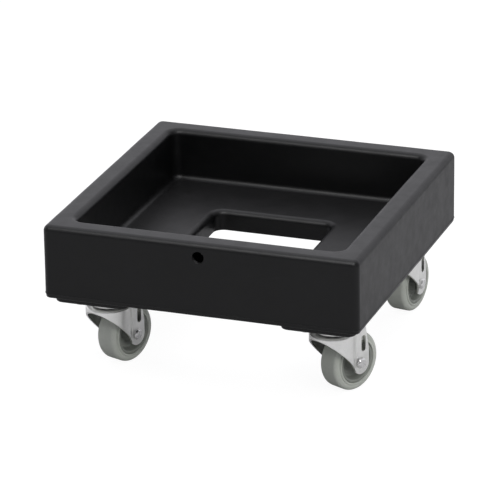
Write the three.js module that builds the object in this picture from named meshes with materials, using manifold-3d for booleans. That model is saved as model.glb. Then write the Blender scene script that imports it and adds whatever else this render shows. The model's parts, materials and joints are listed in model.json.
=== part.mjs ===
// Crate dolly: a square moulded deck with a sunk tray, on four swivel casters.
// Millimetres, +Z up. The origin is on the ground under the middle of the deck.
// -Y is the front, where the rope hole is, and +X is the right-hand side.
import * as THREE from 'three';
import { mergeVertices } from 'three/addons/utils/BufferGeometryUtils.js';
import Module from 'manifold-3d';

const wasm = await Module();
wasm.setup();

// Gap between pieces that touch on the real dolly.
const GAP = 0.3;
// How far a cutter, or a solid that is joined on, runs past the face it meets.
const PAST = 1;

// Deck: one hollow moulding
const DECK_HALF = 206.5;
const DECK_HEIGHT = 96.5;
const DECK_CORNER = 9;
const DECK_SKIN = 5;
const RIM_WIDTH = 32;
const RIM_ROUND = 8;
const LOWER_ROUND = 2;
const TRAY_CORNER = 13;
const TRAY_FILLET = 7.5;
const FLOOR_THICKNESS = 27.5;
const OPENING_HALF = 80;
const OPENING_CORNER = 13;
const OPENING_ROUND = 8;
const ROPE_HOLE_RADIUS = 7.5;
const ROPE_HOLE_HEIGHT = 78;

// Pads under the deck, one for each caster plate
const PAD_HALF_X = 49;
const PAD_HALF_Y = 63.5;
const PAD_CORNER = 10;
const PAD_DEPTH = 8.2;
const PAD_BOSS_HEIGHT = 11;
const PAD_ROUND = 1.5;

// Caster, from the ground to the pad
const CASTER_X = 148.5;
const CASTER_Y = 133;
const CASTER_HEIGHT = 104.8;
const WHEEL_RADIUS = 38.1;
const WHEEL_WIDTH = 31.75;
const SWIVEL_LEAD = 29;

// Mounting plate, with the upper raceway pressed in one with it
const PLATE_HALF_X = 30;
const PLATE_HALF_Y = 46;
const PLATE_THICKNESS = 3;
const PLATE_CORNER = 7;
const BOLT_X = 22.25;
const BOLT_Y = 37.25;
const SLOT_PLAY = 0.6;
const CUP_RADIUS = 21.8;
const CUP_WALL = 2.2;
const CUP_NECK = 20.9;
const CUP_DROP = 12.2;
const CUP_LIP_DROP = 16.6;
const CUP_LIP_HEIGHT = 3.2;

// Balls and lower race
const BALL_RADIUS = 2.6;
const BALL_CIRCLE = 15.8;
const BALL_COUNT = 10;
const CAGE_HALF = 0.7;
const LOWER_RACE_RADIUS = 20;
const LOWER_RACE_THICKNESS = 2;
const LOWER_RACE_LIP = 3;

// Kingpin
const KINGPIN_RADIUS = 5.6;
const KINGPIN_HOLE = 6;
const KINGPIN_TOP_HEAD = 9.5;
const KINGPIN_TOP_HEIGHT = 4;
const KINGPIN_LOW_HEAD = 9;
const KINGPIN_LOW_HEIGHT = 3.5;
const KINGPIN_CHAMFER = 2.5;

// Fork: a pressed yoke with a round head and two flat legs
const FORK_SHEET = 2.5;
const FORK_TOP = 83.5;
const FORK_HEAD_RADIUS = 29.2;
const FORK_HEAD_TURN = 75;
const HEAD_SWELL = 1;
const FORK_ROUND = 2;
const FORK_FRONT_EDGE = 81;
const FORK_EDGE_X = -4.2;
const FORK_EDGE_Z = 57.5;
const LEG_OUTER = 20;
const LEG_CREASE = 21;
const LEG_END_X = 31;
const LEG_END_Z = 36;
const LEG_END_RADIUS = 13.5;
const LEG_END_TURN = -135;
const LEG_TOP_REACH = 39.5;
const SLOT_X = 34.9;
const SLOT_LOW = 52.2;
const SLOT_HIGH = 73.2;
const SLOT_HALF = 3.7;

// Axle
const AXLE_RADIUS = 4;
const AXLE_HEAD_RADIUS = 7.2;
const AXLE_HEAD_LENGTH = 4.5;
const AXLE_NUT_LENGTH = 6;
const AXLE_TIP = 2;
const SLEEVE_RADIUS = 6.3;

// Wheel: a core with a recessed web, and a tyre round it
const CORE_RADIUS = 27.5;
const HUB_RADIUS = 11;
const HUB_FOOT = 1;
const WEB_HALF = 4;
const TYRE_SHOULDER = 7;
const TYRE_SIDES = 28;
const SHOULDER_STEPS = 3;
const CORE_INSET = 1;
const CORE_FLANGE = 3;
const CORE_SLOPE = 2.5;

// Plate bolts
const BOLT_RADIUS = 3.9;
const BOLT_HEAD_RADIUS = 7.5;
const BOLT_HEAD_LENGTH = 5.3;
const BOLT_LENGTH = 20;

const deckBottom = CASTER_HEIGHT + PAD_DEPTH;
const deckTop = deckBottom + DECK_HEIGHT;
const floorTop = deckBottom + FLOOR_THICKNESS;
const trayHalf = DECK_HALF - RIM_WIDTH;
const plateTop = CASTER_HEIGHT - GAP;
const plateBottom = plateTop - PLATE_THICKNESS;
const cupFloor = plateBottom - CUP_DROP;
const forkUnder = FORK_TOP - FORK_SHEET;
const legInner = LEG_OUTER - FORK_SHEET;
const lowerRaceTop = forkUnder - GAP;

const casters = [
  { name: 'front_left', x: -CASTER_X, y: -CASTER_Y, heading: 70 },
  { name: 'front_right', x: CASTER_X, y: -CASTER_Y, heading: 64.5 },
  { name: 'rear_left', x: -CASTER_X, y: CASTER_Y, heading: 112 },
  { name: 'rear_right', x: CASTER_X, y: CASTER_Y, heading: 80.5 },
];

const deckPlastic = new THREE.MeshStandardMaterial({ color: 0x1b1c1d, roughness: 0.55, metalness: 0 });
const zincSteel = new THREE.MeshStandardMaterial({ color: 0xb9bcb6, roughness: 0.35, metalness: 1 });
const boltSteel = new THREE.MeshStandardMaterial({ color: 0xa2a5a3, roughness: 0.4, metalness: 1 });
const ballSteel = new THREE.MeshStandardMaterial({ color: 0xc8cacc, roughness: 0.15, metalness: 1 });
const tyreRubber = new THREE.MeshStandardMaterial({ color: 0x5f615d, roughness: 0.7, metalness: 0 });
const corePlastic = new THREE.MeshStandardMaterial({ color: 0x474a46, roughness: 0.6, metalness: 0 });

// Solids and their geometries

function toSolid(geometry) {
  geometry.deleteAttribute('normal');
  geometry.deleteAttribute('uv');
  const merged = mergeVertices(geometry, 1e-4);
  const vertProperties = new Float32Array(merged.attributes.position.array);
  const triVerts = new Uint32Array(merged.index.array);
  return new wasm.Manifold(new wasm.Mesh({ numProp: 3, vertProperties, triVerts }));
}

function toGeometry(solid) {
  const mesh = solid.getMesh();
  const geometry = new THREE.BufferGeometry();
  geometry.setAttribute('position', new THREE.BufferAttribute(new Float32Array(mesh.vertProperties), 3));
  geometry.setIndex(new THREE.BufferAttribute(new Uint32Array(mesh.triVerts), 1));
  geometry.computeVertexNormals();
  return geometry;
}

function roundedRect(outline, halfX, halfY, radius) {
  const quarter = Math.PI / 2;
  outline.absarc(halfX - radius, halfY - radius, radius, 0, quarter);
  outline.absarc(radius - halfX, halfY - radius, radius, quarter, 2 * quarter);
  outline.absarc(radius - halfX, radius - halfY, radius, 2 * quarter, 3 * quarter);
  outline.absarc(halfX - radius, radius - halfY, radius, 3 * quarter, 4 * quarter);
  outline.closePath();
  return outline;
}

function squareFrame(outerHalf, outerCorner, innerHalf, innerCorner) {
  const frame = roundedRect(new THREE.Shape(), outerHalf, outerHalf, outerCorner);
  frame.holes.push(roundedRect(new THREE.Path(), innerHalf, innerHalf, innerCorner));
  return frame;
}

function slab(shape, low, high, round = 0, curveSegments = 2, bevelSegments = 2) {
  const geometry = new THREE.ExtrudeGeometry(shape, {
    depth: high - low - 2 * round,
    curveSegments,
    bevelEnabled: round > 0,
    bevelThickness: round,
    bevelSize: round,
    bevelOffset: -round,
    bevelSegments,
  });
  geometry.translate(0, 0, low + round);
  return toSolid(geometry);
}

// The same, with lower and upper edges rounded by different amounts.
function slabOfTwoRounds(shape, low, high, roundLow, roundHigh, bevelSegments) {
  const middle = (low + roundLow + high - roundHigh) / 2;
  const cover = roundedRect(new THREE.Shape(), 2 * DECK_HALF, 2 * DECK_HALF, DECK_CORNER);
  const upper = slab(shape, middle - roundHigh - PAST, high, roundHigh, 2, bevelSegments);
  const lower = slab(shape, low, middle + roundLow + PAST, roundLow, 2, 2);
  return upper
    .intersect(slab(cover, middle, high + PAST))
    .add(lower.intersect(slab(cover, low - PAST, middle + GAP)));
}

function post(radius, low, high, x = 0, y = 0, sides = 16) {
  const geometry = new THREE.CylinderGeometry(radius, radius, high - low, sides);
  geometry.rotateX(Math.PI / 2);
  geometry.translate(x, y, (low + high) / 2);
  return toSolid(geometry);
}

function rod(radius, from, to, x, z, sides = 16) {
  const geometry = new THREE.CylinderGeometry(radius, radius, to - from, sides);
  geometry.translate(x, (from + to) / 2, z);
  return toSolid(geometry);
}

// A profile of [radius, height] points, given anticlockwise, turned about Z.
function turned(profile, sides) {
  const points = profile.map(([radius, height]) => new THREE.Vector2(radius, height));
  points.push(points[0].clone());
  const geometry = new THREE.LatheGeometry(points, sides);
  geometry.rotateX(Math.PI / 2);
  return toSolid(geometry);
}

// The same, turned about the wheel's own axle along Y, with a flat side down.
function turnedOnAxle(profile, sides) {
  const points = profile.map(([radius, height]) => new THREE.Vector2(radius, height));
  points.push(points[0].clone());
  return toSolid(new THREE.LatheGeometry(points, sides, Math.PI / sides));
}

// Deck

function makeDeck() {
  const rimFrame = squareFrame(DECK_HALF, DECK_CORNER, trayHalf, TRAY_CORNER);
  const rim = slabOfTwoRounds(rimFrame, deckBottom, deckTop, LOWER_ROUND, RIM_ROUND, 3);
  const floorFrame = squareFrame(trayHalf + RIM_WIDTH / 2, TRAY_CORNER, OPENING_HALF, OPENING_CORNER);
  const floor = slabOfTwoRounds(floorFrame, deckBottom, floorTop, LOWER_ROUND, OPENING_ROUND, 3);
  const filletFrame = squareFrame(
    trayHalf + DECK_SKIN - PAST, TRAY_CORNER, trayHalf - TRAY_FILLET, TRAY_CORNER);
  const filletBlock = slab(filletFrame, floorTop - PAST, floorTop + TRAY_FILLET);
  const trayOutline = roundedRect(new THREE.Shape(), trayHalf, trayHalf, TRAY_CORNER);
  const trayTool = slab(trayOutline, floorTop, deckTop + 2 * TRAY_FILLET, TRAY_FILLET, 2, 3);
  const outside = rim.add(floor).add(filletBlock.subtract(trayTool));

  const rimHollowFrame = squareFrame(
    DECK_HALF - DECK_SKIN, DECK_CORNER, trayHalf + DECK_SKIN, TRAY_CORNER + DECK_SKIN);
  const rimHollow = slab(
    rimHollowFrame, deckBottom + DECK_SKIN, deckTop - DECK_SKIN, DECK_SKIN - PAST, 1, 1);
  const floorHollowFrame = squareFrame(
    trayHalf + 2 * DECK_SKIN, TRAY_CORNER, OPENING_HALF + OPENING_ROUND - PAST, OPENING_CORNER + DECK_SKIN);
  const floorHollow = slab(floorHollowFrame, deckBottom + DECK_SKIN, floorTop - DECK_SKIN, 0, 1);
  // The rope hole is drilled through both skins of the front wall.
  const ropeHole = rod(
    ROPE_HOLE_RADIUS, -DECK_HALF - PAST, PAST - trayHalf, 0, deckBottom + ROPE_HOLE_HEIGHT);

  let deck = outside.subtract(rimHollow.add(floorHollow)).subtract(ropeHole);
  const padTop = deckBottom + PAD_BOSS_HEIGHT;
  const pad = roundedRect(new THREE.Shape(), PAD_HALF_X, PAD_HALF_Y, PAD_CORNER);
  for (const caster of casters) {
    const boss = slab(pad, CASTER_HEIGHT, padTop, PAD_ROUND, 1);
    deck = deck.add(boss.translate([caster.x, caster.y, 0]));
    for (const [x, y] of boltPlaces()) {
      const hole = post(BOLT_RADIUS + GAP, CASTER_HEIGHT - PAST, padTop + PAST, x, y, 8);
      deck = deck.subtract(hole.translate([caster.x, caster.y, 0]));
    }
  }
  return deck;
}

function boltPlaces() {
  return [[-BOLT_X, -BOLT_Y], [BOLT_X, -BOLT_Y], [-BOLT_X, BOLT_Y], [BOLT_X, BOLT_Y]];
}

// Caster pieces. Each is made with the swivel axis on Z, and with the wheel trailing along +X.

function makePlate() {
  const plate = slab(
    roundedRect(new THREE.Shape(), PLATE_HALF_X, PLATE_HALF_Y, PLATE_CORNER), plateBottom, plateTop, 0, 1);
  const lipBottom = plateBottom - CUP_LIP_DROP;
  const lipTop = lipBottom + CUP_LIP_HEIGHT;
  const dishRadius = CUP_NECK - CUP_WALL;
  const neckTop = plateBottom + PLATE_THICKNESS / 2;
  const cup = turned([
    [KINGPIN_HOLE, cupFloor],
    [CUP_RADIUS - CUP_WALL, cupFloor],
    [CUP_RADIUS - CUP_WALL, lipBottom],
    [CUP_RADIUS, lipBottom],
    [CUP_RADIUS, lipTop],
    [CUP_NECK, cupFloor + CUP_WALL],
    [CUP_NECK, neckTop],
    [dishRadius, neckTop],
    [dishRadius, cupFloor + CUP_WALL],
    [KINGPIN_HOLE, cupFloor + CUP_WALL],
  ], 20);
  const dish = post(dishRadius, plateBottom - PAST, plateTop + PAST, 0, 0, 20);
  let solid = plate.subtract(dish).add(cup);
  for (const [x, y] of boltPlaces()) {
    solid = solid.subtract(post(BOLT_RADIUS + SLOT_PLAY, plateBottom - PAST, plateTop + PAST, x, y, 8));
  }
  return solid;
}

function makeBallRing() {
  const height = FORK_TOP + GAP + BALL_RADIUS;
  let ring = turned([
    [BALL_CIRCLE - CAGE_HALF, height - CAGE_HALF],
    [BALL_CIRCLE + CAGE_HALF, height - CAGE_HALF],
    [BALL_CIRCLE + CAGE_HALF, height + CAGE_HALF],
    [BALL_CIRCLE - CAGE_HALF, height + CAGE_HALF],
  ], 10);
  for (let index = 0; index < BALL_COUNT; index += 1) {
    const angle = 2 * Math.PI * index / BALL_COUNT;
    const ball = new THREE.SphereGeometry(BALL_RADIUS, 6, 3);
    ball.rotateX(Math.PI / 2);
    ball.translate(BALL_CIRCLE * Math.cos(angle), BALL_CIRCLE * Math.sin(angle), height);
    ring = ring.add(toSolid(ball));
  }
  return ring;
}

function makeLowerRace() {
  const inside = LOWER_RACE_RADIUS - LOWER_RACE_THICKNESS;
  return turned([
    [KINGPIN_HOLE, lowerRaceTop - LOWER_RACE_THICKNESS],
    [inside, lowerRaceTop - LOWER_RACE_THICKNESS],
    [inside, lowerRaceTop - LOWER_RACE_LIP],
    [LOWER_RACE_RADIUS, lowerRaceTop - LOWER_RACE_LIP],
    [LOWER_RACE_RADIUS, lowerRaceTop],
    [KINGPIN_HOLE, lowerRaceTop],
  ], 16);
}

function makeKingpin() {
  const headUnder = cupFloor + CUP_WALL + GAP;
  const headTop = headUnder + KINGPIN_TOP_HEIGHT;
  const lowHeadTop = lowerRaceTop - LOWER_RACE_THICKNESS - GAP;
  const foot = lowHeadTop - KINGPIN_LOW_HEIGHT;
  return turned([
    [0, foot],
    [KINGPIN_LOW_HEAD - KINGPIN_CHAMFER, foot],
    [KINGPIN_LOW_HEAD, foot + KINGPIN_CHAMFER],
    [KINGPIN_LOW_HEAD, lowHeadTop],
    [KINGPIN_RADIUS, lowHeadTop],
    [KINGPIN_RADIUS, headUnder],
    [KINGPIN_TOP_HEAD, headUnder],
    [KINGPIN_TOP_HEAD, headTop - KINGPIN_CHAMFER],
    [KINGPIN_TOP_HEAD - KINGPIN_CHAMFER, headTop],
    [0, headTop],
  ], 10);
}

// Plan of the yoke: a round head that runs in to the two flat legs.
function yokePlan(headRadius, legHalf, reach) {
  const turn = THREE.MathUtils.degToRad(FORK_HEAD_TURN);
  const tangentX = headRadius * Math.cos(turn);
  const tangentY = headRadius * Math.sin(turn);
  const middleX = (LEG_CREASE + tangentX) / 2;
  const middleY = (legHalf + tangentY) / 2 + HEAD_SWELL;
  const plan = new THREE.Shape();
  plan.moveTo(reach, -legHalf);
  plan.lineTo(reach, legHalf);
  plan.lineTo(LEG_CREASE, legHalf);
  plan.quadraticCurveTo(middleX, middleY, tangentX, tangentY);
  plan.absarc(0, 0, headRadius, turn, 2 * Math.PI - turn);
  plan.quadraticCurveTo(middleX, -middleY, LEG_CREASE, -legHalf);
  plan.closePath();
  return plan;
}

// Side view of the yoke: its lower edge runs straight down from the front of the head to the leg ends.
function yokeSide() {
  const front = -FORK_HEAD_RADIUS - PAST;
  const above = FORK_TOP + PAST;
  const side = new THREE.Shape();
  side.moveTo(front, FORK_FRONT_EDGE);
  side.lineTo(front, above);
  side.lineTo(LEG_TOP_REACH, above);
  side.lineTo(LEG_TOP_REACH, FORK_TOP - FORK_SHEET);
  side.lineTo(LEG_END_X + LEG_END_RADIUS, SLOT_LOW);
  side.absarc(LEG_END_X, LEG_END_Z, LEG_END_RADIUS, 0, THREE.MathUtils.degToRad(LEG_END_TURN), true);
  side.quadraticCurveTo(FORK_EDGE_X, FORK_EDGE_Z, front, FORK_FRONT_EDGE);
  side.closePath();
  return side;
}

function slotOutline() {
  const slot = new THREE.Shape();
  slot.absarc(SLOT_X, SLOT_HIGH - SLOT_HALF, SLOT_HALF, 0, Math.PI);
  slot.absarc(SLOT_X, SLOT_LOW + SLOT_HALF, SLOT_HALF, Math.PI, 2 * Math.PI);
  slot.closePath();
  return slot;
}

// Extrudes an outline drawn in X and Z right across the fork.
function acrossFork(shape, curveSegments) {
  const width = 4 * FORK_HEAD_RADIUS;
  const geometry = new THREE.ExtrudeGeometry(shape, { depth: width, curveSegments, bevelEnabled: false });
  geometry.translate(0, 0, -width / 2);
  geometry.rotateX(Math.PI / 2);
  return toSolid(geometry);
}

function makeFork() {
  const reach = LEG_TOP_REACH + LEG_END_RADIUS;
  const outside = slab(yokePlan(FORK_HEAD_RADIUS, LEG_OUTER, reach), 0, FORK_TOP, FORK_ROUND, 5);
  const insidePlan = yokePlan(FORK_HEAD_RADIUS - FORK_SHEET, legInner, reach + FORK_SHEET);
  const inside = slab(insidePlan, -PAST, forkUnder, 0, 5);
  return outside
    .subtract(inside)
    .intersect(acrossFork(yokeSide(), 4))
    .subtract(acrossFork(slotOutline(), 2))
    .subtract(post(KINGPIN_HOLE, forkUnder - PAST, FORK_TOP + PAST, 0, 0, 12))
    .subtract(rod(AXLE_RADIUS + GAP, -LEG_OUTER - PAST, LEG_OUTER + PAST, SWIVEL_LEAD, WHEEL_RADIUS, 10));
}

function makeAxleBolt() {
  const seat = -LEG_OUTER - GAP;
  const end = LEG_OUTER + AXLE_NUT_LENGTH + AXLE_TIP;
  const head = rod(AXLE_HEAD_RADIUS, seat - AXLE_HEAD_LENGTH, seat, 0, 0, 6);
  return head.add(rod(AXLE_RADIUS, seat - PAST, end, 0, 0, 10));
}

function makeAxleNut() {
  const seat = LEG_OUTER + GAP;
  const body = rod(AXLE_HEAD_RADIUS, seat, seat + AXLE_NUT_LENGTH, 0, 0, 6);
  return body.subtract(rod(AXLE_RADIUS + GAP, seat - PAST, seat + AXLE_NUT_LENGTH + PAST, 0, 0, 10));
}

function makeAxleSleeve() {
  const half = legInner - GAP;
  const tube = rod(SLEEVE_RADIUS, -half, half, 0, 0, 12);
  return tube.subtract(rod(AXLE_RADIUS + GAP, -half - PAST, half + PAST, 0, 0, 10));
}

function makeWheelCore() {
  const hubHalf = legInner - 2 * GAP;
  const rimHalf = WHEEL_WIDTH / 2 - CORE_INSET;
  const flange = CORE_RADIUS - CORE_FLANGE;
  const halfSide = [
    [SLEEVE_RADIUS + GAP, -hubHalf],
    [HUB_RADIUS, -hubHalf],
    [HUB_RADIUS + HUB_FOOT, -WEB_HALF - HUB_FOOT],
    [flange - CORE_SLOPE, -WEB_HALF],
    [flange, -rimHalf],
    [CORE_RADIUS, -rimHalf],
  ];
  const otherSide = halfSide.map(([radius, along]) => [radius, -along]).reverse();
  return turnedOnAxle([...halfSide, ...otherSide], 18);
}

function makeTyre() {
  const half = WHEEL_WIDTH / 2;
  const flatHalf = half - TYRE_SHOULDER;
  // The corners stand out a little, so that the flats roll at the wheel's radius.
  const shoulderRadius = WHEEL_RADIUS / Math.cos(Math.PI / TYRE_SIDES) - TYRE_SHOULDER;
  const profile = [[CORE_RADIUS + GAP, -half]];
  for (const side of [-1, 1]) {
    for (let step = 0; step <= SHOULDER_STEPS; step += 1) {
      const share = step / SHOULDER_STEPS;
      const angle = (side < 0 ? share : 1 - share) * Math.PI / 2;
      const radius = shoulderRadius + TYRE_SHOULDER * Math.sin(angle);
      profile.push([radius, side * (flatHalf + TYRE_SHOULDER * Math.cos(angle))]);
    }
  }
  profile.push([CORE_RADIUS + GAP, half]);
  return turnedOnAxle(profile, TYRE_SIDES);
}

function makePlateBolt() {
  const seat = plateBottom - GAP;
  const head = post(BOLT_HEAD_RADIUS, seat - BOLT_HEAD_LENGTH, seat, 0, 0, 6);
  return head.add(post(BOLT_RADIUS, seat - 1, seat + BOLT_LENGTH, 0, 0, 8));
}

// Assembly

function named(name, geometry, material) {
  const mesh = new THREE.Mesh(geometry, material);
  mesh.name = name;
  return mesh;
}

const dolly = new THREE.Group();
dolly.add(named('deck', toGeometry(makeDeck()), deckPlastic));

const plateGeometry = toGeometry(makePlate());
const ballRingGeometry = toGeometry(makeBallRing());
const lowerRaceGeometry = toGeometry(makeLowerRace());
const kingpinGeometry = toGeometry(makeKingpin());
const forkGeometry = toGeometry(makeFork());
const axleBoltGeometry = toGeometry(makeAxleBolt());
const axleNutGeometry = toGeometry(makeAxleNut());
const axleSleeveGeometry = toGeometry(makeAxleSleeve());
const wheelCoreGeometry = toGeometry(makeWheelCore());
const tyreGeometry = toGeometry(makeTyre());
const plateBoltGeometry = toGeometry(makePlateBolt());

for (const caster of casters) {
  const top = new THREE.Group();
  top.position.set(caster.x, caster.y, 0);
  top.add(named(`${caster.name}_mounting_plate`, plateGeometry, zincSteel));
  top.add(named(`${caster.name}_ball_ring`, ballRingGeometry, ballSteel));
  top.add(named(`${caster.name}_lower_race`, lowerRaceGeometry, zincSteel));
  top.add(named(`${caster.name}_kingpin`, kingpinGeometry, boltSteel));
  boltPlaces().forEach(([x, y], index) => {
    const bolt = named(`${caster.name}_plate_bolt_${index + 1}`, plateBoltGeometry, boltSteel);
    bolt.position.set(x, y, 0);
    top.add(bolt);
  });

  const swivel = new THREE.Group();
  swivel.rotation.z = THREE.MathUtils.degToRad(caster.heading);
  swivel.add(named(`${caster.name}_fork`, forkGeometry, zincSteel));

  const axle = new THREE.Group();
  axle.position.set(SWIVEL_LEAD, 0, WHEEL_RADIUS);
  axle.add(named(`${caster.name}_axle_bolt`, axleBoltGeometry, boltSteel));
  axle.add(named(`${caster.name}_axle_nut`, axleNutGeometry, boltSteel));
  axle.add(named(`${caster.name}_axle_sleeve`, axleSleeveGeometry, zincSteel));
  axle.add(named(`${caster.name}_wheel_core`, wheelCoreGeometry, corePlastic));
  axle.add(named(`${caster.name}_tyre`, tyreGeometry, tyreRubber));

  swivel.add(axle);
  top.add(swivel);
  dolly.add(top);
}

export default dolly;
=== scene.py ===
"""Crate dolly on four swivel casters: the looks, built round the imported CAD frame.

Shapes are written in millimetres and turned into metres as each mesh is made.
+Z is up and -Y is the front, as in the CAD. A caster is drawn with its swivel axis on Z
and its wheel trailing along +X, then set at its own joint and heading. The pieces on the axle
are drawn with the axle on Y.
"""
import json
import math

import bmesh
import bpy
from mathutils import Matrix, Vector, noise


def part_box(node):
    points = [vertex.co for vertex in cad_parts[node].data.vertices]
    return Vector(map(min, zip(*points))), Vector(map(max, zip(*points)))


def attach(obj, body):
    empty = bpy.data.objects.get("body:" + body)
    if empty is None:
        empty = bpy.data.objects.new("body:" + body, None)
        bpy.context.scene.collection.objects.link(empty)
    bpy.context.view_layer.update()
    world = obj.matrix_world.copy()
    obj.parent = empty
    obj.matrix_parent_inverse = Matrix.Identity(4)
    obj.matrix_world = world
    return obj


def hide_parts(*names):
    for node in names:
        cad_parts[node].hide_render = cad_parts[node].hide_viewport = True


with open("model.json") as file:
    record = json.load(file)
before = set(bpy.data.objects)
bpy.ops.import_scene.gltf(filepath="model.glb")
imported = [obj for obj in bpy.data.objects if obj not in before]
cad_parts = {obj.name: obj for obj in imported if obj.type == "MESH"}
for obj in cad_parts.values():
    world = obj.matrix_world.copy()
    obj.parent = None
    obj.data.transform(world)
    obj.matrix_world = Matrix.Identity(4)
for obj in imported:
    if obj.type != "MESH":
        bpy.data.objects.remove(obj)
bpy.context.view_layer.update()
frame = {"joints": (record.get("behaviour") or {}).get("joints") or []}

MM = 0.001
CORNERS = ("front_left", "front_right", "rear_left", "rear_right")
JOINTS = {joint["name"]: joint for joint in frame["joints"]}


# ---------------------------------------------------------------- measures from the frame

def box_mm(node):
    low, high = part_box(node)
    return low / MM, high / MM


DECK_LOW, DECK_HIGH = box_mm("deck")
PLATE_LOW, PLATE_HIGH = box_mm("front_left_mounting_plate")
FORK_TOP = box_mm("front_left_fork")[1].z
GAP = 0.3

# Deck
DECK_HALF = DECK_HIGH.x
DECK_TOP = DECK_HIGH.z
PAD_BOTTOM = DECK_LOW.z
PAD_DEPTH = 8.2
DECK_BOTTOM = PAD_BOTTOM + PAD_DEPTH
DECK_CORNER = 9
DECK_EDGE = 2.0
DECK_TAPER = 1.1
LINE_HEIGHT = DECK_BOTTOM + 5.4
LINE_RIDGE = 0.45
RIM_WIDTH = 32
RIM_TOP_CORNER = 2.5
RIM_ROUND = 8
TRAY_HALF = DECK_HALF - RIM_WIDTH
TRAY_CORNER = 13
TRAY_FILLET = 7.5
FLOOR_THICKNESS = 27.5
FLOOR_TOP = DECK_BOTTOM + FLOOR_THICKNESS
OPENING_HALF = 80
OPENING_CORNER = 13
OPENING_ROUND = 8
OPENING_EDGE = 1
SKIN = 5
PAD_HALF_X = 48.3
PAD_HALF_Y = 63.2
PAD_CORNER = 11
PAD_ROUND = 2.2
PAD_FILLET = 1.6
ROPE_HEIGHT = DECK_BOTTOM + 78
ROPE_RADIUS = 7.5
ROPE_FLARE = 0.6

# Caster, heights from the ground
PLATE_TOP = PLATE_HIGH.z
PLATE_THICKNESS = 3
PLATE_BOTTOM = PLATE_TOP - PLATE_THICKNESS
PLATE_HALF_X = 30
PLATE_HALF_Y = 46
PLATE_CORNER = 7
PLATE_EDGE = 0.5
LIP_BOTTOM = PLATE_LOW.z
LIP_HEIGHT = 3.2
CUP_DROP = 12.2
CUP_FLOOR = PLATE_BOTTOM - CUP_DROP
CUP_RADIUS = 21.8
CUP_NECK = 20.9
CUP_WALL = 2.2
BALL_RADIUS = 2.6
BALL_CIRCLE = 15.8
BALL_COUNT = 10
BOLT_X = 22.25
BOLT_Y = 37.25
BOLT_SHANK = 3.9
BOLT_LENGTH = 19
BOLT_SLOT_X = 6
BOLT_SLOT_Y = 4.6
KINGPIN_HOLE = 6
KINGPIN_SHANK = 5.6
SHEET = 2.5
HEAD_RADIUS = 29.2
HEAD_ROUND = 2
LEG_OUTER = 20
LEG_CREASE = 21
SLOT_X = 34.9
SLOT_LOW = 52.2
SLOT_HIGH = 73.2
SLOT_HALF = 3.7
SLOT_CORNER = 3.2
AXLE_RADIUS = 4
AXLE_HOLE = 4.3
AXLE_HEX = 7.2
SLEEVE_RADIUS = 6.3
HUB_BORE = 6.6
LEAD = 29
WHEEL_RADIUS = 38.1
TYRE_HALF = 15.875
TYRE_BORE = 27.8


# ---------------------------------------------------------------- mesh helpers

def new_object(name, points, faces):
    mesh = bpy.data.meshes.new(name)
    mesh.from_pydata([(x * MM, y * MM, z * MM) for x, y, z in points], [], faces)
    work = bmesh.new()
    work.from_mesh(mesh)
    bmesh.ops.remove_doubles(work, verts=work.verts, dist=1e-6)
    bmesh.ops.recalc_face_normals(work, faces=work.faces)
    work.to_mesh(mesh)
    work.free()
    thing = bpy.data.objects.new(name, mesh)
    bpy.context.scene.collection.objects.link(thing)
    return thing


def loft(name, rings, looped=False):
    """Skins rings of equal length. A loft that isn't looped is closed with a face at each end."""
    count = len(rings[0])
    points = [point for ring in rings for point in ring]
    faces = []
    for index in range(len(rings) if looped else len(rings) - 1):
        here = index * count
        there = (index + 1) % len(rings) * count
        for step in range(count):
            after = (step + 1) % count
            faces.append((here + step, here + after, there + after, there + step))
    if not looped:
        faces.append(tuple(reversed(range(count))))
        faces.append(tuple(range(len(points) - count, len(points))))
    return new_object(name, points, faces)


def lathe(name, profile, steps=64, axis="Z"):
    """Turns a closed outline of (radius, height) points about Z or about Y."""
    rings = []
    for step in range(steps):
        angle = 2 * math.pi * (step + 0.5) / steps
        c, s = math.cos(angle), math.sin(angle)
        if axis == "Z":
            rings.append([(r * c, r * s, h) for r, h in profile])
        else:
            rings.append([(r * c, h, r * s) for r, h in profile])
    return loft(name, rings, looped=True)


def rounded(corners, steps=5):
    """A closed outline of (x, y, radius) corners, each drawn as an arc."""
    outline = []
    for index, (x, y, radius) in enumerate(corners):
        if not radius:
            outline.append((x, y))
            continue
        corner = Vector((x, y))
        back = Vector(corners[index - 1][:2]) - corner
        ahead = Vector(corners[(index + 1) % len(corners)][:2]) - corner
        half = back.angle(ahead) / 2
        reach = min(radius / math.tan(half), 0.499 * min(back.length, ahead.length))
        radius = reach * math.tan(half)
        middle = back.normalized() + ahead.normalized()
        centre = corner + middle.normalized() * (radius / math.sin(half))
        start = corner + back.normalized() * reach - centre
        finish = corner + ahead.normalized() * reach - centre
        first = math.atan2(start.y, start.x)
        sweep = math.remainder(math.atan2(finish.y, finish.x) - first, 2 * math.pi)
        for step in range(steps + 1):
            angle = first + sweep * step / steps
            outline.append((centre.x + radius * math.cos(angle), centre.y + radius * math.sin(angle)))
    return outline


def rectangle(low_x, high_x, low_y, high_y, radius=0.0, steps=6):
    corners = [(high_x, high_y), (low_x, high_y), (low_x, low_y), (high_x, low_y)]
    return rounded([(x, y, radius) for x, y in corners], steps)


def arc(centre, radius, start, finish, steps=6):
    """Points of an arc, angles in degrees."""
    points = []
    for step in range(steps + 1):
        angle = math.radians(start + (finish - start) * step / steps)
        points.append((centre[0] + radius * math.cos(angle), centre[1] + radius * math.sin(angle)))
    return points


def inset(outline, distance):
    """Moves an anticlockwise outline inwards, keeping its corners mitred."""
    moved = []
    for index, here in enumerate(outline):
        here = Vector(here)
        before = (here - Vector(outline[index - 1])).normalized()
        after = (Vector(outline[(index + 1) % len(outline)]) - here).normalized()
        normals = Vector((-before.y, before.x)), Vector((-after.y, after.x))
        way = (normals[0] + normals[1]) / (1 + normals[0].dot(normals[1]))
        moved.append(tuple(here + way * distance))
    return moved


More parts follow.
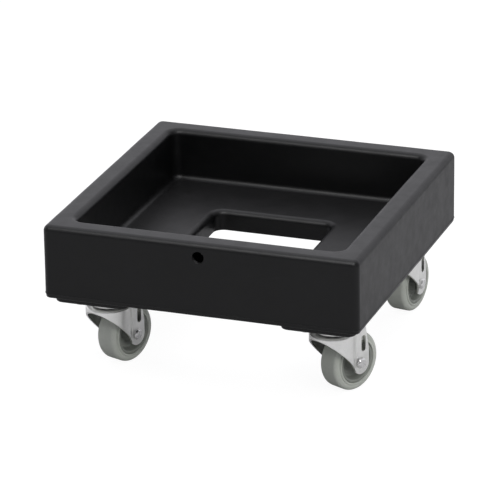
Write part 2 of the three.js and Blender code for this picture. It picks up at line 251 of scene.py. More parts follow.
def prism(name, outline, low, high, round_low=0.0, round_high=0.0, steps=5):
    """Raises an anticlockwise outline, with its lower and upper edges rounded."""
    rings = []
    for step in range(steps + 1 if round_low else 1):
        angle = math.pi / 2 * (step / steps if round_low else 1)
        ring = inset(outline, round_low * (1 - math.sin(angle)))
        rings.append([(x, y, low + round_low * (1 - math.cos(angle))) for x, y in ring])
    for step in range(steps + 1 if round_high else 1):
        angle = math.pi / 2 * (step / steps if round_high else 1)
        ring = inset(outline, round_high * (1 - math.cos(angle)))
        rings.append([(x, y, high - round_high * (1 - math.sin(angle))) for x, y in ring])
    return loft(name, rings)


def turn_across(thing):
    """Lays a prism drawn in X and Y into X and Z, running along Y."""
    thing.data.transform(Matrix.Rotation(math.pi / 2, 4, "X"))
    return thing


def settle(thing):
    """Applies the modifiers."""
    graph = bpy.context.evaluated_depsgraph_get()
    mesh = bpy.data.meshes.new_from_object(thing.evaluated_get(graph))
    old = thing.data
    thing.modifiers.clear()
    thing.data = mesh
    bpy.data.meshes.remove(old)
    return thing


def discard(thing):
    mesh = thing.data
    bpy.data.objects.remove(thing)
    bpy.data.meshes.remove(mesh)


def combine(thing, tool, operation):
    """Joins, cuts or intersects two closed solids, and uses the tool up."""
    modifier = thing.modifiers.new("combine", "BOOLEAN")
    modifier.object = tool
    modifier.operation = operation
    modifier.solver = "EXACT"
    settle(thing)
    discard(tool)
    return thing


def cut(thing, tool):
    return combine(thing, tool, "DIFFERENCE")


def join(thing, tool):
    return combine(thing, tool, "UNION")


def move(thing, x=0.0, y=0.0, z=0.0):
    thing.data.transform(Matrix.Translation(Vector((x, y, z)) * MM))
    return thing


def soften(thing, width, angle=40, segments=2):
    """Bevels the edges that are sharper than the angle."""
    modifier = thing.modifiers.new("soften", "BEVEL")
    modifier.width = width * MM
    modifier.segments = segments
    modifier.limit_method = "ANGLE"
    modifier.angle_limit = math.radians(angle)
    modifier.use_clamp_overlap = True
    return settle(thing)


def shade(thing, angle=35):
    """Smooth shading, with the edges that are sharper than the angle kept crisp."""
    mesh = thing.data
    mesh.polygons.foreach_set("use_smooth", [True] * len(mesh.polygons))
    mesh.set_sharp_from_angle(angle=math.radians(angle))
    modifier = thing.modifiers.new("normals", "WEIGHTED_NORMAL")
    modifier.keep_sharp = True
    return thing


# ---------------------------------------------------------------- materials

class Nodes:
    """Short names for building one material's node tree."""

    def __init__(self, name):
        self.material = bpy.data.materials.new(name)
        self.material.use_nodes = True
        self.tree = self.material.node_tree
        self.tree.nodes.clear()
        self.shader = self.add("ShaderNodeBsdfPrincipled")
        out = self.add("ShaderNodeOutputMaterial")
        self.link(self.shader.outputs["BSDF"], out.inputs["Surface"])
        self.place = self.add("ShaderNodeTexCoord").outputs["Object"]

    def add(self, kind, settings=None, **inputs):
        node = self.tree.nodes.new(kind)
        for key, value in (settings or {}).items():
            setattr(node, key, value)
        for key, value in inputs.items():
            self.set(node, key.replace("_", " "), value)
        return node

    def set(self, node, key, value):
        socket = node.inputs[key]
        if isinstance(value, bpy.types.NodeSocket):
            self.link(value, socket)
        else:
            socket.default_value = value

    def link(self, source, target):
        self.tree.links.new(source, target)

    def noise(self, scale, detail=3.0, roughness=0.5, distortion=0.0, where=None):
        node = self.add(
            "ShaderNodeTexNoise", Vector=where or self.place, Scale=scale, Detail=detail,
            Roughness=roughness, Distortion=distortion)
        return node.outputs["Fac"]

    def stretched(self, scale):
        """The object's coordinates, scaled by a different amount along each axis."""
        return self.add("ShaderNodeMapping", Vector=self.place, Scale=scale).outputs["Vector"]

    def span(self, value, low, high, to_low, to_high):
        """Maps a value from one range to another, without going past its ends."""
        node = self.add("ShaderNodeMapRange", Value=value)
        for key, number in (("From Min", low), ("From Max", high), ("To Min", to_low), ("To Max", to_high)):
            node.inputs[key].default_value = number
        return node.outputs["Result"]

    def blend(self, share, first, second):
        """Mixes two colours, each a tuple or a socket."""
        node = self.add("ShaderNodeMix", {"data_type": "RGBA"})
        self.set_socket(node.inputs[0], share)
        self.set_socket(node.inputs[6], first)
        self.set_socket(node.inputs[7], second)
        return node.outputs[2]

    def set_socket(self, socket, value):
        if isinstance(value, bpy.types.NodeSocket):
            self.link(value, socket)
        elif isinstance(value, tuple):
            socket.default_value = (*value, 1.0)
        else:
            socket.default_value = value

    def bump(self, height, distance, strength=1.0, under=None):
        """Relief of a depth in millimetres, laid over another relief if one is given."""
        node = self.add("ShaderNodeBump", Height=height, Distance=distance * MM, Strength=strength)
        if under is not None:
            self.link(under, node.inputs["Normal"])
        return node.outputs["Normal"]

    def finish(self, **inputs):
        for key, value in inputs.items():
            self.set_socket(self.shader.inputs[key.replace("_", " ")], value)
        return self.material


def deck_plastic():
    n = Nodes("rotomoulded_black_polyethylene")
    mottle = n.noise(14, 4, 0.6)
    grain = n.noise(420, 3, 0.6)
    pits = n.noise(1500, 2, 0.5)
    scratch_lines = n.noise(35, 6, 0.65, 1.6, n.stretched((1.0, 1.0, 5.0)))
    scuffs = n.span(scratch_lines, 0.64, 0.72, 0.0, 1.0)
    worn = n.span(n.add("ShaderNodeNewGeometry").outputs["Pointiness"], 0.52, 0.60, 0.0, 1.0)
    base = n.blend(n.span(mottle, 0.35, 0.65, 0, 1), (0.0010, 0.0011, 0.0012), (0.0018, 0.0019, 0.0021))
    base = n.blend(n.span(scuffs, 0, 1, 0, 0.4), base, (0.008, 0.008, 0.009))
    base = n.blend(n.span(worn, 0, 1, 0, 0.4), base, (0.008, 0.008, 0.009))
    # The faces that look up are painted lighter: a painted sheen of the overhead light.
    facing = n.add("ShaderNodeSeparateXYZ", Vector=n.add("ShaderNodeNewGeometry").outputs["Normal"])
    painted_sheen_share = n.span(facing.outputs["Z"], 0.75, 0.98, 0.0, 0.8)
    painted_sheen = n.blend(n.noise(26, 5, 0.65), (0.0050, 0.0050, 0.0052), (0.0100, 0.0100, 0.0104))
    base = n.blend(painted_sheen_share, base, painted_sheen)
    rough = n.span(n.noise(60, 5, 0.6), 0.3, 0.7, 0.35, 0.43)
    wave = n.bump(n.noise(38, 2, 0.5), 0.5, 0.22)
    skin = n.bump(grain, 0.12, 0.5, wave)
    return n.finish(
        Base_Color=base, Roughness=rough, Normal=n.bump(pits, 0.03, 0.4, skin), Specular_IOR_Level=0.30)


def zinc(name, light, dark, rough_low, rough_high):
    n = Nodes(name)
    spangle = n.noise(90, 3, 0.55)
    drawn = n.noise(260, 3, 0.6, 0.0, n.stretched((1.0, 1.0, 0.16)))
    spots = n.span(n.noise(700, 2, 0.5), 0.62, 0.72, 0, 0.35)
    base = n.blend(n.span(spangle, 0.3, 0.7, 0, 1), light, dark)
    base = n.blend(spots, base, tuple(0.72 * channel for channel in dark))
    rough = n.span(drawn, 0.3, 0.7, rough_low, rough_high)
    normal = n.bump(drawn, 0.02, 0.5, n.bump(spangle, 0.06, 0.4))
    return n.finish(Base_Color=base, Metallic=1.0, Roughness=rough, Normal=normal)


def rubber(name, light, dark, rough_low, rough_high):
    n = Nodes(name)
    cloud = n.noise(45, 4, 0.6)
    speckle = n.noise(900, 2, 0.5)
    base = n.blend(n.span(cloud, 0.35, 0.65, 0, 1), dark, light)
    base = n.blend(n.span(speckle, 0.60, 0.72, 0, 0.4), base, tuple(0.6 * channel for channel in dark))
    rough = n.span(cloud, 0.3, 0.7, rough_low, rough_high)
    normal = n.bump(speckle, 0.04, 0.4, n.bump(n.noise(260, 3, 0.5), 0.06, 0.35))
    return n.finish(Base_Color=base, Roughness=rough, Normal=normal, Specular_IOR_Level=0.4)


MATERIALS = {
    "deck_plastic": deck_plastic(),
    "zinc_steel": zinc("bright_zinc_plate", (0.94, 0.94, 0.915), (0.84, 0.845, 0.82), 0.28, 0.40),
    "fastener_steel": zinc("fastener_zinc_plate", (0.82, 0.82, 0.81), (0.70, 0.705, 0.695), 0.22, 0.32),
    "ball_steel": zinc("polished_bearing_steel", (0.82, 0.82, 0.83), (0.74, 0.74, 0.75), 0.10, 0.18),
    "tyre_rubber": rubber(
        "grey_thermoplastic_rubber", (0.445, 0.463, 0.424), (0.400, 0.419, 0.379), 0.55, 0.68),
    "core_plastic": rubber("grey_polypropylene", (0.225, 0.238, 0.215), (0.195, 0.208, 0.186), 0.42, 0.55),
}


def place(thing, body, slot, nodes):
    """Gives a finished piece the material of its slot, sets it on its body and hides the CAD node it stands
    for.
    """
    thing.data.materials.clear()
    thing.data.materials.append(MATERIALS[slot])
    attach(thing, body)
    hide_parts(nodes)
    return thing


# ---------------------------------------------------------------- deck

SIDE_STEPS = 44
CORNER_STEPS = 8
WALL_STEP = 9.0
WAVE_DEPTH = 0.35
WAVE_BROAD = 62
WAVE_FINE = 27
WAVE_SHIFT = Vector((9, 3, 5))


def square_ring(half, corner, z):
    """A square with round corners, with the same number of points whatever its size."""
    ring = []
    middle = half - corner
    for turn in range(4):
        c, s = round(math.cos(turn * math.pi / 2)), round(math.sin(turn * math.pi / 2))
        quarter = []
        for step in range(CORNER_STEPS + 1):
            angle = math.pi / 2 * step / CORNER_STEPS
            quarter.append((middle + corner * math.cos(angle), middle + corner * math.sin(angle)))
        for step in range(1, SIDE_STEPS):
            share = step / SIDE_STEPS
            quarter.append((middle * (1 - 2 * share), half))
        ring += [(x * c - y * s, x * s + y * c, z) for x, y in quarter]
    return ring


def subdivided(path, longest):
    """Adds points along the long straight runs of a closed path."""
    result = []
    for index, here in enumerate(path):
        after = path[(index + 1) % len(path)]
        parts = max(1, math.ceil(math.dist(here, after) / longest))
        for part in range(parts):
            share = part / parts
            result.append(tuple(a + (b - a) * share for a, b in zip(here, after)))
    return result


def corner_radius(half):
    """The plan corner that goes with a half-width: from the opening out to the outer wall."""
    stops = [
        (OPENING_HALF, OPENING_CORNER),
        (OPENING_HALF + OPENING_ROUND, OPENING_CORNER + OPENING_ROUND),
        (TRAY_HALF - TRAY_FILLET, TRAY_CORNER - TRAY_FILLET),
        (TRAY_HALF, TRAY_CORNER),
        (TRAY_HALF + RIM_ROUND, TRAY_CORNER + RIM_ROUND),
        (DECK_HALF - RIM_ROUND, RIM_TOP_CORNER),
        (DECK_HALF, DECK_CORNER)]
    if half <= stops[0][0]:
        return stops[0][1]
    for (a, ra), (b, rb) in zip(stops, stops[1:]):
        if half <= b:
            return ra + (rb - ra) * (half - a) / (b - a)
    return stops[-1][1]


def waved(point):
    """The slight unevenness of a rotationally moulded wall, from 0 to about 1."""
    x, y, z = point
    broad = noise.noise(Vector((x, y, z)) / WAVE_BROAD)
    fine = noise.noise(Vector((y, z, x)) / WAVE_FINE + WAVE_SHIFT)
    ripple = broad + 0.5 * fine
    return max(0.0, (1 + ripple) / 2)


def deck_section():
    """Half of the deck cut through the middle, as (half-width, height) points."""
    face = DECK_HALF - LINE_RIDGE
    path = arc((DECK_HALF - DECK_TAPER - DECK_EDGE, DECK_BOTTOM + DECK_EDGE), DECK_EDGE, -90, 0)
    # The mould's parting line stands out as a fine ridge, and the strip below it runs in a little.
    rise, crest, fall = 0.35, 0.9, 1.4
    path += [(face, LINE_HEIGHT), (DECK_HALF, LINE_HEIGHT + rise)]
    path += [(DECK_HALF, LINE_HEIGHT + crest), (face, LINE_HEIGHT + fall)]
    path += arc((face - RIM_ROUND, DECK_TOP - RIM_ROUND), RIM_ROUND, 0, 90, 8)
    path += arc((TRAY_HALF + RIM_ROUND, DECK_TOP - RIM_ROUND), RIM_ROUND, 90, 180, 8)
    path += arc((TRAY_HALF - TRAY_FILLET, FLOOR_TOP + TRAY_FILLET), TRAY_FILLET, 0, -90, 8)
    path += arc((OPENING_HALF + OPENING_ROUND, FLOOR_TOP - OPENING_ROUND), OPENING_ROUND, 90, 180, 8)
    path += arc((OPENING_HALF + OPENING_EDGE, DECK_BOTTOM + OPENING_EDGE), OPENING_EDGE, 180, 270, 3)
    return path


def make_deck():
    """One moulding: the section run round the square, with the pads joined on and the rope hole cut."""
    path = subdivided(deck_section(), WALL_STEP)
    rings = [square_ring(half, corner_radius(half), z) for half, z in path]
    deck = loft("deck_moulding", rings, looped=True)
    # Uneven only inwards, so that the wall never passes the CAD's.
    for vertex in deck.data.vertices:
        vertex.co -= vertex.normal * WAVE_DEPTH * waved(vertex.co / MM) * MM
    for corner in CORNERS:
        pivot = caster_place(corner)[0]
        join(deck, move(make_pad(), pivot.x / MM, pivot.y / MM))
    cut(deck, make_wall_hollow())
    cut(deck, make_rope_tool())
    return shade(deck, 50)


def make_pad():
    """One caster pad, with a fine lower edge and a fillet where it meets the underside."""
    sunk = 3
    plan = rectangle(-PAD_HALF_X, PAD_HALF_X, -PAD_HALF_Y, PAD_HALF_Y, PAD_CORNER)
    side = arc((-PAD_ROUND, PAD_ROUND), PAD_ROUND, -90, 0, 4)
    side += arc((PAD_FILLET, PAD_DEPTH - PAD_FILLET), PAD_FILLET, 180, 105, 4)
    side.append((PAD_FILLET, PAD_DEPTH + sunk))
    rings = [[(x, y, PAD_BOTTOM + height) for x, y in inset(plan, -out)] for out, height in side]
    return loft("pad", rings)


def make_wall_hollow():
    """The hollow inside the front wall, round the rope hole."""
    half_width = 60
    plan = rectangle(-half_width, half_width, SKIN - DECK_HALF, -TRAY_HALF - SKIN)
    return prism("wall_hollow", plan, DECK_BOTTOM + SKIN, DECK_TOP - SKIN)


def make_rope_tool():
    """A drill through both skins, flared a little at each mouth."""
    wide = ROPE_RADIUS + ROPE_FLARE
    # The uneven wall stands back a little from its drawn outer and inner faces.
    outside = 0.6 - DECK_HALF
    inside = -TRAY_HALF - 0.4
    start = -DECK_HALF - 4
    finish = inside + 8
    profile = [(0, start), (wide, start)]
    profile += arc((wide, outside + ROPE_FLARE), ROPE_FLARE, -90, -180, 5)
    profile += arc((wide, inside - ROPE_FLARE), ROPE_FLARE, 180, 90, 5)
    profile += [(wide, finish), (0, finish)]
    return move(lathe("rope_tool", profile, 40, "Y"), z=ROPE_HEIGHT)


# ---------------------------------------------------------------- caster pieces

def caster_place(corner):
    """Where a caster's swivel axis stands, in metres, and which way its wheel trails."""
    pivot = Vector(JOINTS[f"{corner}_swivel_turn"]["pos_m"])
    axle = Vector(JOINTS[f"{corner}_wheel_roll"]["pos_m"])
    return pivot, math.atan2(axle.y - pivot.y, axle.x - pivot.x)


def bolt_places():
    return [(-BOLT_X, -BOLT_Y), (BOLT_X, -BOLT_Y), (-BOLT_X, BOLT_Y), (BOLT_X, BOLT_Y)]


def make_plate():
    """Mounting plate, with the upper raceway pressed down out of it and a slot for each bolt."""
    below, above = PLATE_BOTTOM - 2, PLATE_TOP + 2
    plan = rectangle(-PLATE_HALF_X, PLATE_HALF_X, -PLATE_HALF_Y, PLATE_HALF_Y, PLATE_CORNER)
    plate = prism("mounting_plate", plan, PLATE_BOTTOM, PLATE_TOP, PLATE_EDGE, PLATE_EDGE, 3)
    for x, y in bolt_places():
        slot_plan = rectangle(
            x - BOLT_SLOT_X, x + BOLT_SLOT_X, y - BOLT_SLOT_Y, y + BOLT_SLOT_Y, BOLT_SLOT_Y)
        cut(plate, prism("slot_tool", slot_plan, below, above))
    dish = CUP_NECK - CUP_WALL
    cut(plate, lathe("dish_tool", [(0, below), (dish, below), (dish, above), (0, above)], 72))
    join(plate, lathe("cup", cup_section(), 72))
    return shade(plate)


def cup_section():
    """Section of the raceway: a floor round the kingpin, the ball track, the lip and the neck."""
    track = 15
    skirt = CUP_RADIUS - CUP_WALL
    dish = CUP_NECK - CUP_WALL
    joined = PLATE_BOTTOM + PLATE_THICKNESS / 2
    inner_floor = CUP_FLOOR + CUP_WALL
    bend = 1.2
    floor = [(KINGPIN_HOLE, CUP_FLOOR, 0.4), (track, CUP_FLOOR, 2), (skirt - bend, CUP_FLOOR + 0.1, 1)]
    lip = [(skirt, CUP_FLOOR - bend, 1), (skirt, LIP_BOTTOM, 0.5), (CUP_RADIUS, LIP_BOTTOM, 0.7)]
    lip.append((CUP_RADIUS, LIP_BOTTOM + LIP_HEIGHT, bend))
    neck = [(CUP_NECK, CUP_FLOOR + 2.2, bend), (CUP_NECK, joined, 0), (dish, joined, 0)]
    inside = [(dish, inner_floor, bend), (KINGPIN_HOLE, inner_floor, 0.4)]
    return rounded(floor + lip + neck + inside, 4)


def make_ball_ring():
    """The balls, and the thin cage that keeps them apart."""
    height = FORK_TOP + GAP + BALL_RADIUS
    half_width, half_height = 2.0, 0.5
    inner, outer = BALL_CIRCLE - half_width, BALL_CIRCLE + half_width
    low, high = height - half_height, height + half_height
    cage = rounded([(inner, low, 0.2), (outer, low, 0.2), (outer, high, 0.2), (inner, high, 0.2)], 2)
    ring = lathe("ball_ring", cage, 60)
    work = bmesh.new()
    work.from_mesh(ring.data)
    for index in range(BALL_COUNT):
        angle = 2 * math.pi * index / BALL_COUNT
        spot = Vector((BALL_CIRCLE * math.cos(angle), BALL_CIRCLE * math.sin(angle), height)) * MM
        matrix = Matrix.Translation(spot)
        bmesh.ops.create_icosphere(work, subdivisions=3, radius=BALL_RADIUS * MM, matrix=matrix)
    work.to_mesh(ring.data)
    work.free()
    return shade(ring, 60)


def make_lower_race():
    """The washer under the fork's head, turned down a little at its rim."""
    top = FORK_TOP - SHEET - GAP
    low, rim_low = top - 2, top - 3
    bend_in, bend_out, rim = 15.5, 17.4, 20
    profile = rounded([
        (KINGPIN_HOLE, low, 0.3), (bend_in, low, 1.5), (bend_out, rim_low, 1.0), (rim, rim_low, 0.7),
        (rim, top, 1.4), (KINGPIN_HOLE, top, 0.3)], 4)
    return shade(lathe("lower_race", profile, 64))


def make_kingpin():
    """The rivet: a domed head over the cup's floor, and a foot rolled over under the lower race."""
    top = CUP_FLOOR + CUP_WALL + GAP
    low = FORK_TOP - SHEET - 2.6
    head_radius, head_height = 9.5, 4.0
    foot_radius, hollow = 9, low - 2.2
    foot = [(0, hollow, 0), (4.2, hollow, 0.4), (5, low - 3.4, 0.5), (7.4, low - 3.2, 1.4)]
    foot += [(foot_radius, low - 1.2, 1.2), (foot_radius, low, 0.4), (KINGPIN_SHANK, low, 0)]
    head = [(KINGPIN_SHANK, top, 0), (head_radius, top, 0.5), (head_radius, top + 1.8, 1.4)]
    head += [(6.2, top + 3.9, 1.6), (0, top + head_height, 0)]
    return shade(lathe("kingpin", rounded(foot + head, 4), 48))


def swept(start, control, finish, steps):
    """Points of a curve that leaves start towards the control point and reaches finish from it."""
    points = []
    for step in range(steps + 1):
        t = step / steps
        points.append(tuple(start * (1 - t) ** 2 + control * (2 * t * (1 - t)) + finish * t * t))
    return points


def fork_plan(head_radius, leg_half, reach):
    """Plan of the yoke: a round head that runs in to the two flat legs."""
    leave = 75
    turn = math.radians(leave)
    tangent = Vector((head_radius * math.cos(turn), head_radius * math.sin(turn)))
    bend = Vector((LEG_CREASE, leg_half))
    bulge = Vector((0, 1))
    middle = (bend + tangent) / 2 + bulge
    upper = [(reach, leg_half)] + swept(bend, middle, tangent, 10)
    head = arc((0, 0), head_radius, leave, 360 - leave, 60)[1:-1]
    lower = [(x, -y) for x, y in reversed(upper)]
    return upper + head + lower


def fork_side():
    """Side view of the yoke, in X and Z: its lower edge curves from the leg ends up to the head."""
    end_x, end_z, end_radius = 31, 36, 13.5
    back, leg_wide = 39.5, 53
    head_front, head_low = -HEAD_RADIUS - 1, 81
    above = FORK_TOP + 5
    outline = [(head_front, above), (back, above), (back, FORK_TOP - 3), (end_x + end_radius, leg_wide)]
    outline += arc((end_x, end_z), end_radius, 0, -135, 20)
    start = Vector(outline[-1])
    control = Vector((-4.2, 57.5))
    outline += swept(start, control, Vector((head_front, head_low)), 18)[1:]
    return list(reversed(outline))


def hexagon(corner):
    """Six points, each as far from the middle as the given corner."""
    return arc((0, 0), corner, 0, 300, 5)


def across(name, outline, half=60.0):
    """A tool of an outline in X and Z that runs right across the fork along Y."""
    return turn_across(prism(name, outline, -half, half))


def make_fork():
    """The yoke: drawn in plan, hollowed to its sheet, trimmed to its side view and then drilled."""
    low, hollow_low = 8, 4
    reach, hollow_reach = 62, 72
    groove_radius, groove_out, groove_low = 0.95, 0.25, 20
    fork = prism("fork", fork_plan(HEAD_RADIUS, LEG_OUTER, reach), low, FORK_TOP, 0, HEAD_ROUND, 6)
    inner_plan = fork_plan(HEAD_RADIUS - SHEET, LEG_OUTER - SHEET, hollow_reach)
    cut(fork, prism("hollow", inner_plan, hollow_low, FORK_TOP - SHEET, 0, 1.2, 4))
    combine(fork, across("side", fork_side()), "INTERSECT")
    slot = rectangle(SLOT_X - SLOT_HALF, SLOT_X + SLOT_HALF, SLOT_LOW, SLOT_HIGH, SLOT_CORNER, 5)
    cut(fork, across("slot", slot))
    axle_hole = arc((LEAD, WHEEL_RADIUS), AXLE_HOLE, 0, 345, 23)
    cut(fork, across("axle_hole", axle_hole))
    cut(fork, prism("kingpin_hole", arc((0, 0), KINGPIN_HOLE, 0, 350, 35), FORK_TOP - 8, FORK_TOP + 8))
    # The press leaves a narrow groove where each flat leg meets the round head.
    for side in (-1, 1):
        groove = arc((LEG_CREASE, side * (LEG_OUTER + groove_out)), groove_radius, 0, 330, 11)
        cut(fork, prism("groove", groove, groove_low, FORK_TOP - 4))
    soften(fork, 0.5, 50, 3)
    return shade(fork, 30)


def hex_head(name, corner, length, face, slope):
    """A hexagon along Y from 0 to -length, its outer corners turned off down to a round face."""
    head = turn_across(prism(name, hexagon(corner), 0, length))
    start, clear = 0.5, corner + 1
    shoulder = slope - length
    cone = rounded([
        (0, start, 0), (clear, start, 0), (clear, shoulder, 0),
        (corner - 0.2, shoulder, 0.4), (face, -length, 0.8), (0, -length, 0)], 3)
    combine(head, lathe("cone", cone, 48, "Y"), "INTERSECT")
    return head


def make_axle_bolt():
    seat = -LEG_OUTER - GAP
    root = seat - 1
    end = LEG_OUTER + 8
    bolt = move(hex_head("axle_bolt", corner=AXLE_HEX, length=4.5, face=5.3, slope=2.0), y=seat)
    shank = rounded([(0, root, 0), (AXLE_RADIUS, root, 0), (AXLE_RADIUS, end, 0.8), (0, end, 0)], 3)
    join(bolt, lathe("shank", shank, 32, "Y"))
    soften(bolt, 0.25)
    return shade(bolt)


def make_axle_nut():
    seat = LEG_OUTER + GAP
    start, finish = seat - 2, seat + 9
    nut = hex_head("axle_nut", corner=AXLE_HEX, length=6, face=6.0, slope=0.8)
    nut.data.transform(Matrix.Rotation(math.pi, 4, "Z"))
    move(nut, y=seat)
    bore = [(0, start), (AXLE_HOLE, start), (AXLE_HOLE, finish), (0, finish)]
    cut(nut, lathe("bore", bore, 32, "Y"))
    soften(nut, 0.25)
    return shade(nut)


def make_axle_sleeve():
    half = LEG_OUTER - SHEET - GAP
    profile = rounded([
        (AXLE_HOLE, -half, 0.3), (SLEEVE_RADIUS, -half, 0.5),
        (SLEEVE_RADIUS, half, 0.5), (AXLE_HOLE, half, 0.3)], 3)
    return shade(lathe("axle_sleeve", profile, 48, "Y"))


def mirrored(half_profile):
    """A wheel's whole section from its (radius, along) points on one side."""
    return half_profile + [(radius, -along) for radius, along in reversed(half_profile)]


def make_wheel_core():
    """The wheel's middle: a hub, a thin web set deep between the sides, and a rim with a raised lip."""
    hub_end = 0.9 + SHEET - LEG_OUTER
    rim_end = 1.2 - TYRE_HALF
    web = -4.4
    hub = [(HUB_BORE, hub_end), (9.4, hub_end), (10.6, hub_end + 1.0), (11.2, -9.0), (12.6, -5.6)]
    dish = [(15, web), (20.0, web), (21.4, -5.6), (23.3, rim_end + 2.2)]
    lip = [(24.0, rim_end + 0.6), (24.9, rim_end), (26.4, rim_end)]
    lip += [(27.2, rim_end + 0.4), (27.5, rim_end + 1.2)]
    corners = [(radius, along, 0.9) for radius, along in mirrored(hub + dish + lip)]
    return shade(lathe("wheel_core", rounded(corners, 3), 96, "Y"), 40)


def make_tyre():
    """The tyre, with a raised bead and a groove round the core, and full shoulders."""
    shoulder_drop, shoulder_width = 6.4, 6.0
    side = 1.0 - TYRE_HALF
    bead = [(TYRE_BORE, 2.2), (TYRE_BORE + 0.15, 0.6), (28.5, 0.05), (29.8, 0.05)]
    groove = [(30.4, 0.5), (30.7, 1.5), (31.2, 1.6)]
    half = [(radius, depth - TYRE_HALF) for radius, depth in bead + groove]
    for degrees in range(84, -1, -12):
        angle = math.radians(degrees)
        radius = WHEEL_RADIUS - shoulder_drop * (1 - math.cos(angle))
        half.append((radius, side + shoulder_width * (1 - math.sin(angle))))
    return shade(lathe("tyre", mirrored(half), 120, "Y"), 40)


def make_plate_bolt():
    """A flanged bolt, with its head down and its shank up through the plate into the pad."""
    seat = PLATE_BOTTOM - GAP
    flange_low, end = seat - 1.2, seat + BOLT_LENGTH
    bolt = turn_across(hex_head("plate_bolt", corner=6.5, length=4.4, face=5.4, slope=0.8))
    move(bolt, z=seat - 0.9)
    flange = [(0, flange_low, 0), (7.0, flange_low, 0.3), (7.4, seat, 0.2)]
    shank = [(BOLT_SHANK, seat, 0), (BOLT_SHANK, end, 1.0), (0, end, 0)]
    join(bolt, lathe("flange", rounded(flange + shank, 3), 48))
    return shade(bolt)


# ---------------------------------------------------------------- assembly

PIECES = (
    # piece, what makes it, body, slot, whether it turns with the swivel, whether it is drawn round its axle
    ("mounting_plate", make_plate, "deck_body", "zinc_steel", False, False),
    ("ball_ring", make_ball_ring, "deck_body", "ball_steel", False, False),
    ("lower_race", make_lower_race, "deck_body", "zinc_steel", False, False),
    ("kingpin", make_kingpin, "deck_body", "fastener_steel", False, False),
    ("fork", make_fork, "{}_swivel", "zinc_steel", True, False),
    ("axle_bolt", make_axle_bolt, "{}_swivel", "fastener_steel", True, True),
    ("axle_nut", make_axle_nut, "{}_swivel", "fastener_steel", True, True),
    ("axle_sleeve", make_axle_sleeve, "{}_swivel", "zinc_steel", True, True),
    ("wheel_core", make_wheel_core, "{}_wheel", "core_plastic", True, True),
    ("tyre", make_tyre, "{}_wheel", "tyre_rubber", True, True),
)


def copy_of(pattern, name, matrix):
    thing = pattern.copy()
    thing.data = pattern.data.copy()
    thing.name = name
    thing.matrix_world = matrix
    bpy.context.scene.collection.objects.link(thing)
    return thing


place(make_deck(), "deck_body", "deck_plastic", "deck")

for piece, make, body, slot, turns, on_axle in PIECES:
    pattern = make()
    for corner in CORNERS:
        pivot, heading = caster_place(corner)
        spot = Vector((pivot.x, pivot.y, 0))
        matrix = Matrix.Translation(spot)
        if turns:
            matrix = matrix @ Matrix.Rotation(heading, 4, "Z")
        if on_axle:
            matrix = matrix @ Matrix.Translation(Vector((LEAD, 0, WHEEL_RADIUS)) * MM)
        thing = copy_of(pattern, f"{corner}_{piece}_detail", matrix)
        place(thing, body.format(corner), slot, f"{corner}_{piece}")
    discard(pattern)

pattern = make_plate_bolt()
for corner in CORNERS:
    pivot = caster_place(corner)[0]
    for index, (x, y) in enumerate(bolt_places(), 1):
        matrix = Matrix.Translation((pivot.x + x * MM, pivot.y + y * MM, 0))
        thing = copy_of(pattern, f"{corner}_plate_bolt_{index}_detail", matrix)
        place(thing, "deck_body", "fastener_steel", f"{corner}_plate_bolt_{index}")
discard(pattern)


# ---------------------------------------------------------------- floor, world, lights and camera

def make_plane(name, z, albedo, glow):
    """A wide level plane with a faintly clouded white, which may give off light of its own."""
    size = 30000
    corners = [(-size, -size, z), (size, -size, z), (size, size, z), (-size, size, z)]
    plane = new_object(name, corners, [(0, 1, 2, 3)])
    n = Nodes(name)
    low, high = (albedo - 0.01,) * 3, (albedo + 0.01,) * 3
    n.finish(Base_Color=n.blend(n.noise(2.0, 2, 0.5), low, high), Roughness=0.9, Specular_IOR_Level=0.0)
    n.shader.inputs["Emission Color"].default_value = (1, 1, 1, 1)
    n.shader.inputs["Emission Strength"].default_value = glow
    plane.data.materials.append(n.material)
    return plane


def make_floor():
    """The white floor that the camera sees, and one just under it that throws light up at the dolly."""
    seen = make_plane("floor", 0, 0.14, 0.93)
    seen.visible_diffuse = False
    seen.visible_glossy = False
    seen.visible_shadow = False
    bounce = make_plane("bounce_floor", -1, 0.52, 0.0)
    bounce.visible_camera = False


WORLD_STOPS = (
    # height of the direction, brightness
    (-0.10, 0.60), (0.00, 1.00), (0.66, 1.00), (0.90, 1.90), (1.00, 2.20))
WORLD_TINT = (0.975, 0.97, 1.02)
WORLD_BACK = (-0.34, 0.94, 0.0)
FRONT_REACH = -0.2
BACK_REACH = 0.35
BACK_BRIGHTNESS = 0.98
FRONT_BRIGHTNESS = 0.32


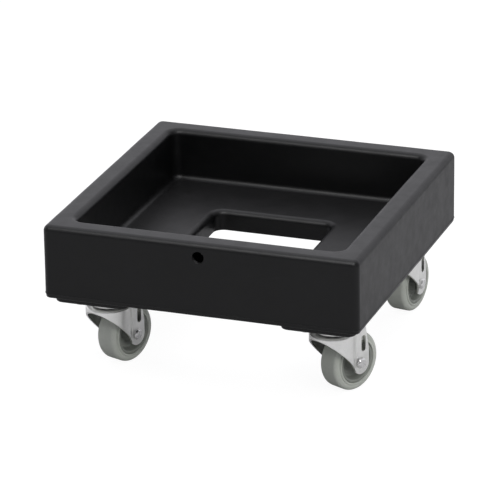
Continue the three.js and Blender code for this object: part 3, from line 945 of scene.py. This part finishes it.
def make_world():
    """A bright band round the horizon and a brighter ceiling, with more light behind than in front."""
    world = bpy.data.worlds.new("studio")
    bpy.context.scene.world = world
    world.use_nodes = True
    tree = world.node_tree
    tree.nodes.clear()
    out = tree.nodes.new("ShaderNodeOutputWorld")
    background = tree.nodes.new("ShaderNodeBackground")
    ramp = tree.nodes.new("ShaderNodeValToRGB")
    split = tree.nodes.new("ShaderNodeSeparateXYZ")
    height = tree.nodes.new("ShaderNodeMapRange")
    way = tree.nodes.new("ShaderNodeTexCoord")
    tree.links.new(way.outputs["Generated"], split.inputs[0])
    tree.links.new(split.outputs["Z"], height.inputs["Value"])
    height.inputs["From Min"].default_value = -1.0
    height.inputs["From Max"].default_value = 1.0
    tree.links.new(height.outputs["Result"], ramp.inputs["Fac"])
    stops = ramp.color_ramp.elements
    while len(stops) < len(WORLD_STOPS):
        stops.new(0.5)
    for stop, (level, bright) in zip(stops, WORLD_STOPS):
        stop.position = (level + 1) / 2
        stop.color = (*(bright * tint for tint in WORLD_TINT), 1)
    backward = tree.nodes.new("ShaderNodeVectorMath")
    backward.operation = "DOT_PRODUCT"
    tree.links.new(way.outputs["Generated"], backward.inputs[0])
    backward.inputs[1].default_value = WORLD_BACK
    strength = tree.nodes.new("ShaderNodeMapRange")
    tree.links.new(backward.outputs["Value"], strength.inputs["Value"])
    strength.inputs["From Min"].default_value = FRONT_REACH
    strength.inputs["From Max"].default_value = BACK_REACH
    strength.inputs["To Min"].default_value = FRONT_BRIGHTNESS
    strength.inputs["To Max"].default_value = BACK_BRIGHTNESS
    tree.links.new(strength.outputs["Result"], background.inputs["Strength"])
    tree.links.new(ramp.outputs["Color"], background.inputs["Color"])
    tree.links.new(background.outputs["Background"], out.inputs["Surface"])


def make_area(name, spot, aim, width, height, power, colour=(1, 1, 1)):
    light = bpy.data.lights.new(name, "AREA")
    light.shape = "RECTANGLE"
    light.size = width
    light.size_y = height
    light.energy = power
    light.color = colour
    thing = bpy.data.objects.new(name, light)
    bpy.context.scene.collection.objects.link(thing)
    thing.location = spot
    thing.rotation_euler = (Vector(aim) - Vector(spot)).to_track_quat("-Z", "Y").to_euler()
    return thing


def make_lights():
    """Two lights that only brighten, and a softbox that only shows as a reflection."""
    overhead = make_area(
        "overhead", spot=(0.3, -0.8, 3.0), aim=(0, 0, 0.1), width=3.0, height=3.0, power=44)
    overhead.visible_glossy = False
    key = make_area(
        "key", spot=(2.6, -1.6, 1.2), aim=(0, 0, 0.06), width=1.4, height=1.4, power=40,
        colour=(1.0, 0.998, 0.99))
    key.visible_glossy = False
    softbox = make_area(
        "softbox", spot=(0.2, -1.9, 2.6), aim=(0, 0, 0.15), width=3.0, height=1.7, power=76)
    softbox.visible_diffuse = False


CAMERA_AZIMUTH = math.radians(19.77)
CAMERA_ELEVATION = math.radians(21.52)
CAMERA_ROLL = math.radians(-0.852)
CAMERA_DISTANCE = 5.0038
CAMERA_LENS = 283.49
AIM = Vector((0, 0, 0.16126))
AIM_RIGHT = 0.00506
AIM_UP = 0.03482


def make_camera():
    """A long lens, a little off level, looking down at the front from the right."""
    flat, rise = math.cos(CAMERA_ELEVATION), math.sin(CAMERA_ELEVATION)
    back = Vector((math.sin(CAMERA_AZIMUTH) * flat, -math.cos(CAMERA_AZIMUTH) * flat, rise))
    level = Vector((0, 0, 1)).cross(back).normalized()
    upright = back.cross(level)
    right = level * math.cos(CAMERA_ROLL) + upright * math.sin(CAMERA_ROLL)
    up = upright * math.cos(CAMERA_ROLL) - level * math.sin(CAMERA_ROLL)
    camera = bpy.data.objects.new("camera", bpy.data.cameras.new("camera"))
    camera.data.lens = CAMERA_LENS
    camera.data.sensor_width = 36
    camera.data.clip_end = 100
    spot = AIM + back * CAMERA_DISTANCE - right * AIM_RIGHT - up * AIM_UP
    turn = Matrix((right, up, back)).transposed().to_4x4()
    camera.matrix_world = Matrix.Translation(spot) @ turn
    bpy.context.scene.collection.objects.link(camera)
    bpy.context.scene.camera = camera


make_floor()
make_world()
make_lights()
make_camera()
bpy.context.scene.view_settings.view_transform = "Standard"
